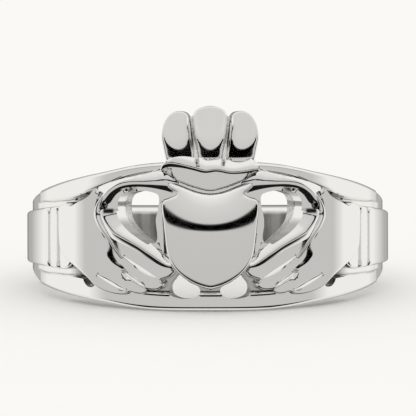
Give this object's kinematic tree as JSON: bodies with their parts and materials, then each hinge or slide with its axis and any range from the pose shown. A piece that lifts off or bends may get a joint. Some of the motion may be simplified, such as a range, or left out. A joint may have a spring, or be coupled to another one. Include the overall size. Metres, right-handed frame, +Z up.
{
  "type": "claddagh ring",
  "caption": "Cast finger ring: two cuffed hands hold a domed heart under a petalled crown, with pierced openings between raised rails.",
  "frame": {"origin": "centre of the finger hole, on the band's middle plane", "axes": "+Z up from the surface the ring lies on, -Y towards the heart, +X to the right as the heart is seen; the ring's own axis leans 7.17 degrees from +Z towards +Y, crown end up"},
  "size_m": [0.0208, 0.0211, 0.0112],
  "materials": {
    "silver": "polished silver, fine cast grain in the grooves"
  },
  "bodies": {
    "root": {"ring": "silver"}
  },
  "joints": []
}
